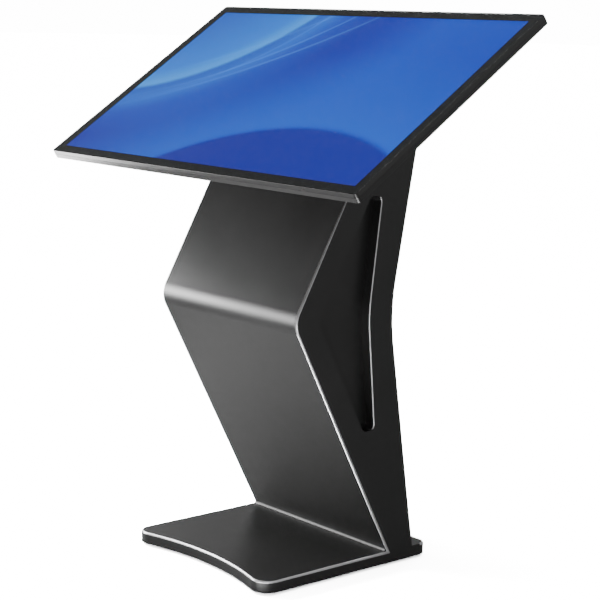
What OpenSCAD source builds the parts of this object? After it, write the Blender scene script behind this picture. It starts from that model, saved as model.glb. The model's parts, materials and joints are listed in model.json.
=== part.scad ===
// Free-standing touch kiosk: a tilted 43 inch display head on a folded, K-shaped sheet-metal pedestal.
// Millimetres, +Z up, +X to the visitor's right, -Y towards the visitor.
// The origin is on the floor, in the middle of the kiosk's footprint.

/* [Display head] */
// Width of the lit picture area
active_w = 941.2; // [780:0.1:1150]
// Height of the lit picture area, measured up the slope
active_h = 529.4; // [440:0.1:650]
// Printed black border between the picture and the glass edge
border = 23; // [18:1:40]
// Angle between the glass and the floor
tilt = 34; // [28:1:40]
// Thickness of the cover glass
glass_t = 4; // [3:0.5:6]
// Width of the metal rim that shows round the glass
rim_w = 2; // [1.5:0.5:4]
// Height of the head's edge, from the glass face to the rear cover
edge_h = 20; // [20:1:30]
// Corner radius of the glass
head_corner_r = 6; // [3:1:14]
// Depth of the electronics box below the edge
box_h = 40; // [32:1:60]
// Width of the electronics box
box_w = 620; // [600:1:700]
// Height of the front top edge of the glass above the floor
head_front_h = 835; // [800:1:900]
// How far the head reaches forward of the knee
head_overhang = 98.7; // [80:0.1:130]

/* [Pedestal] */
// Width over the two side panels
body_w = 444; // [380:1:540]
// Height of the knee above the floor
knee_h = 546; // [500:1:600]
// Front to back depth at the knee, between the sharp corners
knee_depth = 261.7; // [220:0.1:310]
// Lean of both front faces from the vertical
front_lean = 28.4; // [25:0.1:31]
// Lean of both rear faces from the vertical
rear_lean = 9.7; // [6:0.1:12]
// Outer bend radius of the front knee
front_knee_r = 50; // [20:1:80]
// Outer bend radius of the rear knee
rear_knee_r = 400; // [150:10:450]
// Sheet thickness of the panels
sheet_t = 2; // [1.5:0.1:2.5]
// Width of the folded lip along each side panel's edge
lip_w = 5; // [4:0.5:8]

/* [Side recess] */
// Depth of the decorative recess in each side panel
recess_depth = 25; // [15:1:30]
// Distance of the recess behind the front outline, measured level
recess_front_gap = 64.6; // [50:0.1:80]
// Distance of the recess in front of the rear outline at the knee
recess_rear_gap = 61.6; // [50:0.1:75]
// Lean of the recess's rear wall from the vertical
recess_lean = 6.2; // [4:0.1:8]
// Height of the recess above and below the knee
recess_half_h = 243; // [200:1:250]
// Radius at the recess's round ends
recess_end_r = 13; // [6:1:15]

/* [Base] */
// Height of the base skirt
base_h = 25; // [24:1:32]
// Gap between the floor and the skirt
foot_gap = 6; // [6:1:10]
// Reach of the base's front corners in front of the pedestal's foot
base_front = 351; // [300:1:400]
// Depth of the curved bite in the base's front edge
front_bow = 42; // [20:1:60]
// Reach of the base behind the pedestal's rear foot
base_tail = 48.7; // [30:0.1:90]
// Plan radius of the base's front corners
front_corner_r = 35; // [20:1:45]
// Plan radius of the base's rear corners
rear_corner_r = 25; // [10:1:35]
// Thickness of the ballast plate
plate_t = 8; // [5:1:9]

/* [Service door] */
// Distance of the opening in the rear panel from each upright post
door_side = 10; // [8:1:30]
// Lower edge of the opening above the deck, measured up the rear face
door_low = 70; // [65:1:90]
// Distance of the opening's top below the knee, measured up the rear face
door_top = 87.5; // [80:0.5:150]
// Gap between the door and its opening
door_gap = 1.5; // [1:0.1:2.5]
// Depth of the folded flanges round the door and its opening
flange_d = 12; // [8:1:14]
// Radius of the hinge pins
pin_r = 2.5; // [2:0.1:3]
// Radius of the lock's turning plug
plug_r = 6; // [5:0.1:7]

/* [Feet] */
// Radius of the levelling feet's pads
pad_r = 22; // [18:1:28]
// Radius of the levelling feet's studs
stud_r = 5; // [4:0.5:6]

/* [Power entry] */
// Radius of the gland's bore for the mains lead
gland_r = 4.5; // [3.5:0.1:5.5]

/* [Hidden] */

$fn = 48;
eps = 0.01;
run_gap = 0.05;      // radial clearance of a turning or screwing fit
seam = 0.2;          // gap between neighbouring panels
fit_gap = 0.3;       // clearance round a piece that drops into another
screw_r = 2;
screw_head_r = 4;
screw_head_h = 2;

// ---- flat geometry helpers ----
function unit(v) = v / norm(v);
function turn(v) = [-v[1], v[0]];
function cross2(a, b) = a[0] * b[1] - a[1] * b[0];
function meet(p, u, q, w) = p + u * (cross2(q - p, w) / cross2(u, w));
function arc(o, r, a0, a1, n = 12) = [for (i = [0:n]) let (a = a0 + (a1 - a0) * i / n)
    o + r * [cos(a), sin(a)]];
function short_way(a) = a > 180 ? a - 360 : a < -180 ? a + 360 : a;

// the arc that rounds corner b between a and c
function corner(a, b, c, r, n) = let (
    u = unit(a - b), v = unit(c - b), half = acos(u * v) / 2,
    o = b + unit(u + v) * r / sin(half),
    s = b + u * r / tan(half) - o, e = b + v * r / tan(half) - o,
    a0 = atan2(s[1], s[0]), da = short_way(atan2(e[1], e[0]) - a0)
) arc(o, r, a0, a0 + da, n);

// an open path with its inner corners rounded, and a closed loop with all of them rounded
function round_path(p, r, n = 10) = [for (i = [0:len(p) - 1])
    each (i == 0 || i == len(p) - 1 || r[i] <= 0) ? [p[i]] : corner(p[i - 1], p[i], p[i + 1], r[i], n)];
function round_loop(p, r, n = 8) = let (k = len(p)) [for (i = [0:k - 1])
    each r[i] <= 0 ? [p[i]] : corner(p[(i + k - 1) % k], p[i], p[(i + 1) % k], r[i], n)];

// a path moved sideways by d, to its left
function shift_path(p, d) = let (k = len(p)) [for (i = [0:k - 1]) let (
    u = unit(p[min(i + 1, k - 1)] - p[min(i + 1, k - 1) - 1]),
    w = unit(p[max(i, 1)] - p[max(i, 1) - 1])
) (i == 0 || i == k - 1) ? p[i] + turn(i == 0 ? u : w) * d
    : meet(p[i] + turn(w) * d, w, p[i] + turn(u) * d, u)];
function reversed(p) = [for (i = [len(p) - 1:-1:0]) p[i]];

// the outline of a bent sheet: thickness t lies to the left of path p, and r are the radii on the path itself,
// which grow by t where the path turns right and shrink where it turns left
function bend_sign(p, i) = cross2(p[i] - p[i - 1], p[i + 1] - p[i]) > 0 ? -1 : 1;
function far_radii(p, r, t) = [for (i = [0:len(p) - 1])
    (i == 0 || i == len(p) - 1 || r[i] <= 0) ? 0 : max(0.5, r[i] + t * bend_sign(p, i))];
function sheet(p, r, t, from = 0) = concat(round_path(shift_path(p, from), far_radii(p, r, from)),
    reversed(round_path(shift_path(p, from + t), far_radii(p, r, from + t))));

function box_loop(x0, y0, x1, y1) = [[x0, y0], [x1, y0], [x1, y1], [x0, y1]];

// ---- main places, all worked out from the driving sizes ----
deck_z = foot_gap + base_h;
rise = knee_h - deck_z;
foot_span = knee_depth - rise * (tan(front_lean) - tan(rear_lean));      // depth of the pedestal at the deck
base_rear = foot_span + base_tail;   // reach of the base behind the pedestal's front foot
foot_y = (rise * tan(front_lean) + head_overhang + rim_w * cos(tilt) - base_rear) / 2;
knee_front_y = foot_y - rise * tan(front_lean);
knee_rear_y = knee_front_y + knee_depth;
rear_foot_y = knee_rear_y + rise * tan(rear_lean);
half_w = body_w / 2;
inner_w = half_w - lip_w;            // half width between the side panels' lips

glass_w = active_w + 2 * border;
glass_h = active_h + 2 * border;
head_d = edge_h + box_h;             // glass face to the underside of the electronics box
along = [cos(tilt), sin(tilt)];      // up the glass, in the side view
out = [-sin(tilt), cos(tilt)];       // out of the glass, in the side view
head_front = [knee_front_y - head_overhang, head_front_h];
head_mid = head_front + along * glass_h / 2;
function head_point(v, w) = head_mid + along * v + out * w;

front_dir = [sin(front_lean), cos(front_lean)];
rear_dir = [sin(rear_lean), cos(rear_lean)];
knee_front = [knee_front_y, knee_h];
knee_rear = [knee_rear_y, knee_h];
arm_gap = 0.5;                       // gap between the arm's top and the electronics box
function arm_hit(knee, dir, depth) = meet(knee, dir, head_point(0, -depth), along);
front_top = arm_hit(knee_front, front_dir, head_d + arm_gap);
rear_top = arm_hit(knee_rear, rear_dir, head_d + arm_gap);
front_path = [[foot_y, deck_z], knee_front, front_top];
rear_path = [[rear_foot_y, deck_z], knee_rear, rear_top];
past_front = front_top + front_dir * 10;
past_rear = rear_top + rear_dir * 10;

// ---- placing helpers ----
module across(w, x = 0) {            // extrudes a side view (Y, Z) over width w, centred on x
    translate([x - w / 2, 0, 0]) rotate([90, 0, 90]) linear_extrude(w) children();
}
module on_head() {                   // x across, y up the glass, z out of it, origin at the glass's middle
    translate([0, head_mid[0], head_mid[1]]) rotate([tilt, 0, 0]) children();
}
module below_head() {                // the side view's part below the head's underside
    polygon([head_point(-1000, -head_d - arm_gap), head_point(1000, -head_d - arm_gap),
        head_point(1000, -3000), head_point(-1000, -3000)]);
}
module on_lower_rear() {             // x across, y out of the lower rear face, z up it, origin at the deck
    translate([0, rear_foot_y, deck_z]) rotate([rear_lean, 0, 0]) children();
}
module on_upper_rear() {             // the same on the upper rear face, origin at the knee
    translate([0, knee_rear_y, knee_h]) rotate([-rear_lean, 0, 0]) children();
}
module plate_loop(p, z0, z1) { translate([0, 0, z0]) linear_extrude(z1 - z0) polygon(p); }
module block(x0, y0, z0, x1, y1, z1) { translate([x0, y0, z0]) cube([x1 - x0, y1 - y0, z1 - z0]); }
module rod_y(r, y0, y1) { translate([0, y0, 0]) rotate([-90, 0, 0]) cylinder(r = r, h = y1 - y0); }

// ---- upright posts, between the side recesses ----
post_gap = 3;
post_w = 18;
post_d = 40;
post_wall = 2;
pocket_in = half_w - recess_depth - sheet_t;         // inner face of the side recess
post_x = pocket_in - 2 - post_w / 2;

// ---- base ----
bow_r = (half_w * half_w + front_bow * front_bow) / (2 * front_bow);
bow_y = foot_y - base_front + front_bow - bow_r;           // centre of the bite's circle
corner_y = bow_y + sqrt(pow(bow_r + front_corner_r, 2) - pow(half_w - front_corner_r, 2));
bow_angle = atan2(corner_y - bow_y, half_w - front_corner_r);
rear_y = foot_y + base_rear;
// the base seen from above, taken in by i
function base_loop(i) = concat(
    arc([half_w - rear_corner_r, rear_y - rear_corner_r], rear_corner_r - i, 90, 0, 8),
    arc([half_w - front_corner_r, corner_y], front_corner_r - i, 0, bow_angle - 180, 12),
    arc([0, bow_y], bow_r + i, bow_angle, 180 - bow_angle, 24),
    arc([front_corner_r - half_w, corner_y], front_corner_r - i, -bow_angle, -180, 12),
    arc([rear_corner_r - half_w, rear_y - rear_corner_r], rear_corner_r - i, 180, 90, 8));
plate_z = foot_gap + 6;              // underside of the ballast plate
foot_inset_x = 48;
foot_inset_front = 70;
nut_r = stud_r * 1.7;
// the rear face of the posts where they stand on the ballast plate, and the room left for the weld nuts
post_foot_y = rear_foot_y + (deck_z - plate_z - plate_t) * tan(rear_lean)
    - (sheet_t + post_gap) / cos(rear_lean);
nut_room = 1.5;
foot_x = half_w - foot_inset_x;
foot_front_y = corner_y + foot_inset_front - front_corner_r;
foot_rear_y = post_foot_y + nut_r * cos(30) + nut_room;
FOOT_PLACES = [[-foot_x, foot_front_y], [foot_x, foot_front_y], [-foot_x, foot_rear_y], [foot_x, foot_rear_y]];
module at_feet() { for (p = FOOT_PLACES) translate([p[0], p[1], 0]) children(); }
nut_top_gap = 3;
weld_nut_h = deck_z - sheet_t - nut_top_gap - plate_z - plate_t;

module base_plate() {
    color("#3a3c3f") difference() {
        intersection() {
            plate_loop(base_loop(sheet_t + fit_gap), plate_z, plate_z + plate_t);
            block(-inner_w + fit_gap, -2000, 0, inner_w - fit_gap, 2000, deck_z);
        }
        at_feet() translate([0, 0, plate_z - 1]) cylinder(r = stud_r + run_gap, h = plate_t + 2);
    }
}
module weld_nuts() {
    color("#8f9296") at_feet() translate([0, 0, plate_z + plate_t]) difference() {
        cylinder(r = nut_r, h = weld_nut_h, $fn = 6);
        translate([0, 0, -1]) cylinder(r = stud_r + run_gap, h = weld_nut_h + 2);
    }
}
module skirt(y0, y1) {               // the part of the skirt between two depths
    intersection() {
        difference() {
            plate_loop(base_loop(0), foot_gap, deck_z - sheet_t - eps);
            plate_loop(base_loop(sheet_t), foot_gap - 1, deck_z);
        }
        block(-half_w - 1, y0, 0, half_w + 1, y1, deck_z);
    }
}
module front_skirt() {
    color("#2b2c2e") skirt(foot_y - base_front - front_corner_r, corner_y - seam);
}
rear_side_y = rear_y - rear_corner_r;
module rear_cover() {
    color("#2b2c2e") {
        skirt(rear_side_y + seam, rear_y + 1);
        difference() {
            intersection() {
                plate_loop(base_loop(0), deck_z - sheet_t - eps, deck_z);
                block(-half_w, rear_foot_y + seam, 0, half_w, rear_y, deck_z + 1);
            }
            for (s = [-1, 1]) translate([s * half_w, 0, 0])
                block(-lip_w - seam, rear_foot_y - 1, 0, lip_w + seam, rear_side_y + seam, deck_z + 1);
        }
    }
}

// ---- side panels ----
side_outline = concat(
    [[corner_y, foot_gap], [corner_y, deck_z]],
    round_path(front_path, [0, front_knee_r, 0]),
    reversed(round_path(rear_path, [0, rear_knee_r, 0])),
    [[rear_side_y, deck_z], [rear_side_y, foot_gap]]);
// the same outline with square knees, taken in by t: the space inside the lip
lip_inset = concat(
    [[corner_y + sheet_t, foot_gap + sheet_t]],
    round_path(shift_path([[corner_y + sheet_t, deck_z], [foot_y, deck_z], knee_front, front_top], -sheet_t),
        [0, 0, front_knee_r - sheet_t, 0]),
    reversed(round_path(shift_path([[rear_side_y - sheet_t, deck_z], [rear_foot_y, deck_z], knee_rear,
        rear_top], sheet_t), [0, 0, rear_knee_r + sheet_t, 0])),
    [[rear_side_y - sheet_t, foot_gap + sheet_t]]);
recess_front_y = knee_front_y + recess_front_gap;
recess_rear_y = knee_rear_y - recess_rear_gap;
recess_reach = recess_half_h * tan(front_lean);
recess_back = recess_half_h * tan(recess_lean);
recess_corners = [
    [recess_front_y, knee_h],
    [recess_front_y + recess_reach, knee_h - recess_half_h],
    [recess_rear_y + recess_back, knee_h - recess_half_h],
    [recess_rear_y, knee_h],
    [recess_rear_y + recess_back, knee_h + recess_half_h],
    [recess_front_y + recess_reach, knee_h + recess_half_h]];
recess_wall_r = 300;
function recess_loop(grow) = let (p = recess_corners, c = [for (i = [0:5])
    let (a = p[(i + 5) % 6], b = p[i], d = p[(i + 1) % 6], u = unit(b - a), v = unit(d - b))
    meet(b - turn(u) * grow, u, b - turn(v) * grow, v)])
    round_loop(c, [30 + grow, recess_end_r + grow, recess_end_r + grow, recess_wall_r - grow,
        recess_end_r + grow, recess_end_r + grow]);

module side_panel(s) {               // s is -1 for the visitor's left and 1 for the right
    color("#2d2e30") difference() {
        union() {
            difference() {
                across(lip_w, s * (half_w - lip_w / 2)) polygon(side_outline);
                across(lip_w, s * (half_w - sheet_t - lip_w / 2)) polygon(lip_inset);
            }
            across(recess_depth + sheet_t, s * (half_w - (recess_depth + sheet_t) / 2))
                polygon(recess_loop(sheet_t));
        }
        across(recess_depth, s * (half_w + eps - recess_depth / 2)) polygon(recess_loop(0));
    }
}
module side_panel_left() { side_panel(-1); }
module side_panel_right() { side_panel(1); }

// ---- front panel: arm, knee, leg and deck folded from one sheet ----
foot_bend_r = 6;
module front_panel() {
    color("#2b2c2e") {
        across(2 * (inner_w - seam)) intersection() {
            polygon(sheet([[corner_y + 2, deck_z], [foot_y, deck_z], knee_front, past_front],
                [0, foot_bend_r, front_knee_r, 0], -sheet_t));
            below_head();
        }
        intersection() {
            plate_loop(base_loop(0), deck_z - sheet_t, deck_z);
            union() {
                block(-half_w, foot_y - base_front - front_corner_r, 0, half_w, corner_y - seam, deck_z + 1);
                block(-inner_w + seam, corner_y - 2, 0, inner_w - seam, corner_y + 4, deck_z + 1);
            }
        }
    }
}

// ---- rear panel, its vents and its screws ----
leg_len = rise / cos(rear_lean);                     // from the deck to the knee, up the rear face
arm_len = norm(rear_top - knee_rear);                // from the knee to the head, up the rear face
door_w = 2 * (post_x - post_w / 2 - door_side);
door_h = leg_len - door_low - door_top;
door_mid = door_low + door_h / 2;
screw_end = 70;                                      // from the top screw to the arm's end
screw_first = 110;
SCREW_LOW = [30, door_mid, door_low + door_h + 12];
SCREW_HIGH = [screw_first, (screw_first + arm_len - screw_end) / 2, arm_len - screw_end];
module at_rear_screws() {
    for (x = [-post_x, post_x]) {
        for (z = SCREW_LOW) on_lower_rear() translate([x, 0, z]) children();
        for (z = SCREW_HIGH) on_upper_rear() translate([x, 0, z]) children();
    }
}
power_z = 36;                        // middle of the power entry above the deck, up the rear face
power_w = 110;
power_h = 42;
module at_plate_screws() {           // the power plate's four screws, placed on the lower rear face
    for (x = [-1, 1], z = [-1, 1])
        translate([x * (power_w / 2 - 4), 0, power_z + z * (power_h / 2 - 4)]) children();
}
fan_z = 170;                         // middle of the fan above the knee, up the upper rear face
fan_side = 80;
fan_t = 25;
slot_w = 4;
slot_pitch = 10;
module fan_slots() {                 // a round field of upright slots over the fan
    reach = fan_side / 2 - 4;
    for (x = [-30:slot_pitch:30]) let (h = sqrt(reach * reach - x * x))
        block(x - slot_w / 2, -sheet_t - 1, -h, x + slot_w / 2, 1, h);
}
rail = 20;
top_rail_up = fan_z + fan_side / 2 + 25;             // the top rail's height above the knee
high_vent_z = (top_rail_up + rail + arm_len) / 2;    // halfway between the top rail and the arm's end
module vent_row(z) {                 // a row of short upright slots
    for (x = [-100:slot_pitch:100]) block(x - slot_w / 2, -sheet_t - 1, z - 25, x + slot_w / 2, 1, z + 25);
}
module rear_panel() {
    color("#2b2c2e") difference() {
        union() {
            across(2 * (inner_w - seam)) intersection() {
                polygon(sheet([[rear_foot_y, deck_z], knee_rear, past_rear], [0, rear_knee_r, 0], sheet_t));
                below_head();
            }
            on_lower_rear() block(-door_w / 2 - sheet_t, -flange_d, door_low - sheet_t,
                door_w / 2 + sheet_t, -sheet_t / 2, door_low + door_h + sheet_t);
        }
        on_lower_rear() {
            block(-door_w / 2, -flange_d - 1, door_low, door_w / 2, 5, door_low + door_h);
            block(-power_w / 2 + 8, -sheet_t - 1, power_z - power_h / 2 + 6,
                power_w / 2 - 8, 1, power_z + power_h / 2 - 6);
            at_plate_screws() rod_y(screw_r + 0.2, -sheet_t - 1, 1);
        }
        on_upper_rear() {
            translate([0, 0, fan_z]) fan_slots();
            for (x = [-1, 1], z = [-1, 1]) translate([x * fan_hole, 0, fan_z + z * fan_hole])
                rod_y(screw_r + 0.2, -sheet_t - 1, 1);
            vent_row(high_vent_z);
        }
        at_rear_screws() rod_y(screw_r + 0.2, -sheet_t - 1, 1);
    }
}
module button_screw(depth) {         // a low round head on the surface and a shank that goes depth deep
    rod_y(screw_r, -depth, 0.5);
    difference() {
        rod_y(screw_head_r, 0, screw_head_h);
        translate([0, screw_head_h - 0.8, 0]) rotate([-90, 0, 0]) cylinder(r = 1.6, h = 2, $fn = 6);
    }
}
module rear_panel_screws() {
    color("#4a4b4d") {
        at_rear_screws() button_screw(sheet_t + post_gap + post_wall + 1);
        for (x = [-1, 1], z = [-1, 1]) on_upper_rear() translate([x * fan_hole, 0, fan_z + z * fan_hole])
            button_screw(sheet_t + 10);
    }
}

// ---- inner frame ----
mount_t = 5;
mount_drop = head_d + arm_gap + mount_t;             // depth of the mount plate's underside below the glass
module post(s) {                     // a rectangular tube that follows the rear face
    span = [[rear_foot_y + (deck_z - plate_z) * tan(rear_lean), plate_z], knee_rear,
        knee_rear + rear_dir * 800];
    color("#55585c") difference() {
        intersection() {
            across(post_w, s * post_x) polygon(sheet(span, [0, rear_knee_r, 0], post_d, sheet_t + post_gap));
            post_room();
        }
        across(post_w - 2 * post_wall, s * post_x) polygon(sheet(span, [0, rear_knee_r, 0],
            post_d - 2 * post_wall, sheet_t + post_gap + post_wall));
        at_rear_screws() rod_y(screw_r + 0.2, -sheet_t - post_gap - post_wall - 1, 1);
    }
}
module post_room() {                 // between the ballast plate and the mount plate
    intersection() {
        block(-half_w, -800, plate_z + plate_t, half_w, 800, 2000);
        on_head() block(-half_w, -2000, -2000, half_w, 2000, -mount_drop);
    }
}
module post_left() { post(-1); }
module post_right() { post(1); }
rail_gap = 0.2;
rail_len = 2 * (post_x - post_w / 2 - rail_gap);
module tube_x(len, y, z) {
    difference() {
        block(-len / 2, y, z, len / 2, y + rail, z + rail);
        block(-len / 2 - 1, y + 2, z + 2, len / 2 + 1, y + rail - 2, z + rail - 2);
    }
}
function rear_y_at(z) = z < knee_h ? knee_rear_y + (knee_h - z) * tan(rear_lean)
    : knee_rear_y + (z - knee_h) * tan(rear_lean);
top_rail_z = knee_h + top_rail_up;
top_rail_back = 44;
module cross_rails() {
    color("#55585c") {
        tube_x(rail_len, rear_y_at(deck_z + rail) - sheet_t - post_gap - 38, plate_z + plate_t + 2);
        tube_x(rail_len, rear_y_at(knee_h) - 48, knee_h + 10);
        tube_x(rail_len, rear_y_at(top_rail_z) - top_rail_back, top_rail_z);
    }
}
// the mount plate lies under the electronics box, inside the arm
inner_front = arm_hit(knee_front - turn(front_dir) * sheet_t, front_dir, head_d + arm_gap);
inner_rear = arm_hit(knee_rear + turn(rear_dir) * sheet_t, rear_dir, mount_drop);
mount_front = (inner_front - head_mid) * along + 3;
mount_rear = (inner_rear - head_mid) * along - 3;
bolt_x = post_x - post_w / 2 - 25;    // the bolts' heads pass beside the posts
bolt_y1 = mount_front + 22;
bolt_y2 = mount_rear - 22;
bolt_r = 4;
cable_hole_r = 24;
cable_hole_y = (mount_front + mount_rear) / 2;
module at_head_bolts() { for (x = [-bolt_x, bolt_x], y = [bolt_y1, bolt_y2]) translate([x, y, 0]) children(); }
module head_mount_plate() {
    color("#55585c") on_head() difference() {
        block(-inner_w + 4, mount_front, -mount_drop + eps, inner_w - 4, mount_rear, -head_d - arm_gap);
        at_head_bolts() translate([0, 0, -mount_drop - 1]) cylinder(r = bolt_r + 0.5, h = mount_t + 2);
        translate([0, cable_hole_y, -mount_drop - 1]) cylinder(r = cable_hole_r, h = mount_t + 2);
    }
}
module head_bolts() {
    color("#9a9da1") on_head() at_head_bolts() {
        translate([0, 0, -mount_drop - 6]) cylinder(r = 7, h = 6, $fn = 6);
        translate([0, 0, -mount_drop - 1]) cylinder(r = bolt_r, h = mount_t + 13);
    }
}

// ---- equipment in the pedestal ----
shelf_z = 306;
shelf_front_y = foot_y - (shelf_z - deck_z) * tan(front_lean) + 14;
shelf_rear_y = rear_y_at(shelf_z) - flange_d - 16;
shelf_half = post_x - post_w / 2 - fit_gap;
module equipment_shelf() {
    color("#4a4d50") {
        difference() {
            block(-shelf_half, shelf_front_y, shelf_z, shelf_half, shelf_rear_y, shelf_z + sheet_t);
            for (x = [-120:30:120])
                block(x - 8, shelf_front_y + 20, shelf_z - 1, x + 8, shelf_front_y + 26, shelf_z + 5);
        }
        for (s = [-1, 1]) translate([s * (shelf_half - sheet_t / 2), 0, 0])
            block(-sheet_t / 2, shelf_front_y, shelf_z, sheet_t / 2, shelf_rear_y + 18, shelf_z + 36);
    }
}
pc_w = 200;
pc_h = 40;
pc_top = shelf_z + sheet_t + pc_h;
module media_pc() {
    color("#3b3e42") difference() {
        block(-pc_w / 2, shelf_front_y + 8, shelf_z + sheet_t, pc_w / 2, shelf_rear_y - 8, pc_top);
        for (x = [-80:10:-20]) block(x, shelf_front_y + 20, pc_top - 2, x + 4, shelf_rear_y - 20, pc_top + 1);
    }
}
supply_h = 30;
module power_supply() {
    color("#8a8d90") difference() {
        block(-shelf_half + 10, shelf_front_y + 30, shelf_z - supply_h,
            -shelf_half + 150, shelf_rear_y - 10, shelf_z);
        for (x = [0:8:100]) block(-shelf_half + 25 + x, shelf_front_y + 29, shelf_z - supply_h + 6,
            -shelf_half + 28 + x, shelf_front_y + 31, shelf_z - 6);
    }
}
// a cable that stays in one upright plane: rings of n points swept along the side-view path p
module cable(x, p, cable_r, n = 10) {
    k = len(p);
    dirs = [for (i = [0:k - 1]) unit(p[min(i + 1, k - 1)] - p[max(i - 1, 0)])];
    points = [for (i = [0:k - 1], j = [0:n - 1]) let (s = p[i] + turn(dirs[i]) * cable_r * cos(360 * j / n))
        [x + cable_r * sin(360 * j / n), s[0], s[1]]];
    sides = [for (i = [0:k - 2], j = [0:n - 1]) let (m = (j + 1) % n, a = i * n, b = (i + 1) * n)
        each [[a + j, b + j, b + m], [a + j, b + m, a + m]]];
    polyhedron(points, concat(sides, [[for (j = [0:n - 1]) j], [for (j = [n - 1:-1:0]) (k - 1) * n + j]]));
}
// both leads rise from the equipment, pass the plate's hole square to it and end inside the electronics box
cable_mouth = head_point(cable_hole_y, -mount_drop);
rail_front = rear_y_at(top_rail_z) - top_rail_back;
cable_turn = [rail_front - 22, top_rail_z + 2 * rail];
cable_bend_r = 200;
function bend_room(a, b, c) = let (turned = 180 - acos(unit(a - b) * unit(c - b)))
    0.45 * min(norm(a - b), norm(c - b)) / tan(max(turned, 1) / 2);
function cable_path(start) = let (low = [start[0], knee_h - 20],
    high = cable_mouth + unit(cable_mouth - cable_turn) * (mount_t + 14))
    round_path([start, low, cable_turn, high], [0, min(cable_bend_r, bend_room(start, low, cable_turn)),
        min(cable_bend_r, bend_room(low, cable_turn, high)), 0], 6);
video_x = 9;
lead_x = -9;
video_start = [shelf_front_y + 60, pc_top];
module video_cable() { color("#1a1a1a") cable(video_x, cable_path(video_start), 3.5); }
lead_start = [shelf_front_y + 60, pc_top];
module display_power_lead() { color("#1a1a1a") cable(lead_x, cable_path(lead_start), 4); }

// ---- power entry: a plate with the gland and the mains switch ----
gland_x = -28;
switch_x = 24;
gland_body_r = gland_r + 4.5;
gland_nut_r = gland_body_r + 4;
gland_len = 26;
plate_low = power_z - power_h / 2;
module power_plate() {
    color("#3f4143") on_lower_rear() difference() {
        block(-power_w / 2, fit_gap, plate_low, power_w / 2, fit_gap + sheet_t, plate_low + power_h);
        translate([gland_x, 0, power_z]) rod_y(gland_body_r + 0.1, -1, 6);
        block(switch_x - switch_w / 2 - 0.1, -1, power_z - switch_h / 2 - 0.1, switch_x + switch_w / 2 + 0.1, 6,
            power_z + switch_h / 2 + 0.1);
        at_plate_screws() rod_y(screw_r + 0.2, -1, 6);
    }
}
module power_plate_screws() {
    color("#8f9296") on_lower_rear() at_plate_screws() translate([0, fit_gap + sheet_t, 0]) button_screw(9);
}
module cable_gland() {
    y0 = fit_gap - sheet_t - 8;
    color("#232425") on_lower_rear() translate([gland_x, 0, power_z]) difference() {
        union() {
            rod_y(gland_body_r, y0, fit_gap + sheet_t + 4);
            translate([0, fit_gap + sheet_t, 0]) rotate([-90, 0, 0]) cylinder(r = gland_nut_r, h = 6, $fn = 6);
            translate([0, fit_gap + sheet_t + 6, 0]) rotate([-90, 0, 0])
                cylinder(r1 = gland_body_r + 1, r2 = gland_r + 2, h = y0 + gland_len - fit_gap - sheet_t - 6);
            translate([0, y0 + 2, 0]) rotate([-90, 0, 0]) cylinder(r = gland_nut_r, h = 5, $fn = 6);
        }
        rod_y(gland_r, y0 - 1, y0 + gland_len + 1);
    }
}
switch_w = 15;
switch_h = 24;
rocker_pivot_y = 1.5;
rocker_pin_r = 1.2;
rocker_tilt = 10;
module rocker_housing() {
    color("#1c1d1e") on_lower_rear() translate([switch_x, fit_gap + sheet_t, power_z]) difference() {
        union() {
            block(-switch_w / 2, -18, -switch_h / 2, switch_w / 2, 0.5, switch_h / 2);
            block(-switch_w / 2 - 2, 0, -switch_h / 2 - 2, switch_w / 2 + 2, 2, switch_h / 2 + 2);
        }
        block(-switch_w / 2 + 1.5, -8, -switch_h / 2 + 0.8, switch_w / 2 - 1.5, 5, switch_h / 2 - 0.8);
        translate([-switch_w / 2 + 0.6, rocker_pivot_y - 2, 0]) rotate([0, 90, 0])
            cylinder(r = rocker_pin_r + run_gap, h = switch_w - 1.2);
    }
}
module rocker() {
    w = switch_w - 3.4;
    color("#a01818") on_lower_rear() translate([switch_x, fit_gap + sheet_t + rocker_pivot_y - 2, power_z])
        rotate([-rocker_tilt, 0, 0]) {
            across(w) polygon([[-4, -7], [1, -10], [4.6, -9.6], [3.2, 0], [4.6, 9.6], [1, 10], [-4, 7]]);
            translate([-switch_w / 2 + 0.8, 0, 0]) rotate([0, 90, 0])
                cylinder(r = rocker_pin_r, h = switch_w - 1.6);
        }
}

// ---- exhaust fan behind the upper rear panel ----
fan_hole = fan_side / 2 - 4.25;
fan_y = -sheet_t - fit_gap;          // the fan frame's outer face
fan_bore = fan_side / 2 - 2;
hub_r = 17;
shaft_r = 1.5;
module fan_frame() {
    color("#1f2021") on_upper_rear() translate([0, fan_y, fan_z]) {
        difference() {
            block(-fan_side / 2, -fan_t, -fan_side / 2, fan_side / 2, 0, fan_side / 2);
            rod_y(fan_bore, -fan_t - 1, 1);
            for (x = [-1, 1], z = [-1, 1]) translate([x * fan_hole, 0, z * fan_hole])
                rod_y(screw_r + 0.2, -fan_t - 1, 1);
        }
        for (a = [45:90:315]) rotate([0, a, 0]) block(hub_r - 3, -fan_t, -2, fan_bore + 0.5, -fan_t + 3, 2);
        rod_y(hub_r - 1, -fan_t, -fan_t + 3);
        rod_y(shaft_r, -fan_t, -4);
    }
}
blade_count = 7;
module fan_rotor() {
    color("#2a2b2c") on_upper_rear() translate([0, fan_y, fan_z]) {
        difference() {
            union() {
                rod_y(hub_r, -fan_t + 4, -2.5);
                for (i = [0:blade_count - 1]) rotate([0, 360 * i / blade_count, 0])
                    translate([(hub_r + fan_bore - 1.5) / 2 - 1, -fan_t / 2 - 1, 0]) rotate([38, 0, 0])
                        cube([fan_bore - 1.5 - hub_r + 2, 1.6, 20], center = true);
            }
            rod_y(shaft_r + run_gap, -fan_t, -3.5);
        }
    }
}

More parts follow.
